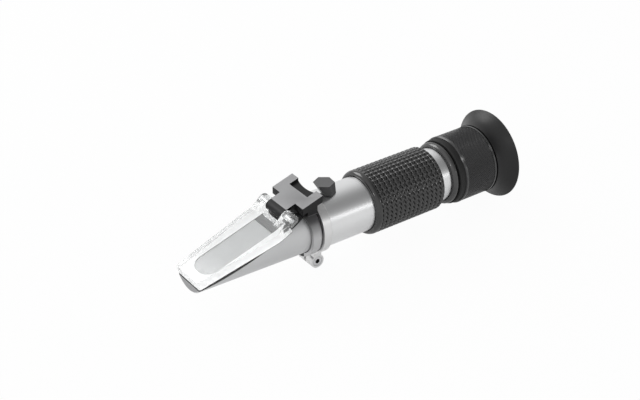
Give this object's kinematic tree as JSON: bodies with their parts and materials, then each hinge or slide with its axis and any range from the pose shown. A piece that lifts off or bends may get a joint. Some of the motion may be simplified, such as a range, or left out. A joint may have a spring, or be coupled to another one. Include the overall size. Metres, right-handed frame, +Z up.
{
  "type": "coolant refractometer",
  "caption": "Hand-held coolant refractometer: aluminium tube with rubber grip, focusing eyepiece with flared eyecup, and a slanted prism under a hinged clear daylight plate.",
  "frame": {"origin": "under the middle of the instrument's length, on the surface that it lies on, with the optical axis level", "axes": "+X along the optical axis from the prism towards the eyecup, +Z up through the hinge of the daylight plate, +Y across"},
  "size_m": [0.157, 0.04, 0.04],
  "materials": {
    "satin_aluminium": "satin, turned",
    "housing_aluminium": "satin, fine blasted",
    "steel": "bright",
    "brass": "satin",
    "grip_rubber": "moulded, square pads",
    "eyecup_rubber": "matte, smooth",
    "black_anodised": "black anodised",
    "bracket_black": "black, satin",
    "black_cell": "matte",
    "clear_plastic": "clear, frosted underneath",
    "prism_glass": "polished",
    "lens_glass": "polished"
  },
  "bodies": {
    "body": {"main_tube": "satin_aluminium", "rubber_grip": "grip_rubber", "guide_pin": "steel", "field_stop": "black_cell", "reticle": "lens_glass", "reticle_ring": "black_cell", "clamp_collar": "satin_aluminium", "clamp_screw": "steel", "prism_housing": "housing_aluminium", "measuring_prism": "prism_glass", "light_stop": "black_cell", "hinge_bracket": "bracket_black", "bracket_set_screw": "steel", "hinge_pin": "steel", "bimetal_strip": "brass", "bimetal_screw": "steel"},
    "plate": {"daylight_plate": "clear_plastic"},
    "cap": {"calibration_cap": "black_anodised"},
    "screw": {"calibration_screw": "brass"},
    "objective": {"objective_carriage": "black_cell", "objective_lens": "lens_glass", "objective_retainer": "black_cell"},
    "barrel": {"lens_barrel": "black_cell", "eye_lens": "lens_glass", "lens_spacer": "black_cell", "field_lens": "lens_glass"},
    "eyepiece": {"focus_ring": "black_anodised", "wiper_ring": "eyecup_rubber", "eyecup": "eyecup_rubber", "eyepiece_retainer": "black_cell"}
  },
  "joints": [
    {"name": "daylight_plate_hinge", "type": "hinge", "parent": "body", "child": "plate", "pos_m": [-0.0347, 0, 0.0317], "axis": [0, 1, 0], "range_deg": [0, 120]},
    {"name": "focus_travel", "type": "slide", "parent": "body", "child": "barrel", "axis": [1, 0, 0], "range_m": [-0.0015, 0.0015]},
    {"name": "focus_turn", "type": "hinge", "parent": "barrel", "child": "eyepiece", "pos_m": [0.0617, 0, 0.02], "axis": [1, 0, 0], "range_deg": [-150, 150]},
    {"name": "cap_pull", "type": "slide", "parent": "body", "child": "cap", "axis": [0, 0, 1], "range_m": [0, 0.012]},
    {"name": "calibration_turn", "type": "hinge", "parent": "body", "child": "screw", "pos_m": [-0.0104, -0.0012, 0.032], "axis": [0, 0, 1], "range_deg": [-60, 60]},
    {"name": "objective_shift", "type": "slide", "parent": "body", "child": "objective", "axis": [-1, 0, 0], "range_m": [-0.00025, 0.00025]}
  ],
  "couplings": [
    {"joint": "focus_travel", "follows": "focus_turn", "m_per_rad": 0.00057},
    {"joint": "calibration_turn", "follows": "objective_shift", "rad_per_m": 4188.8}
  ]
}
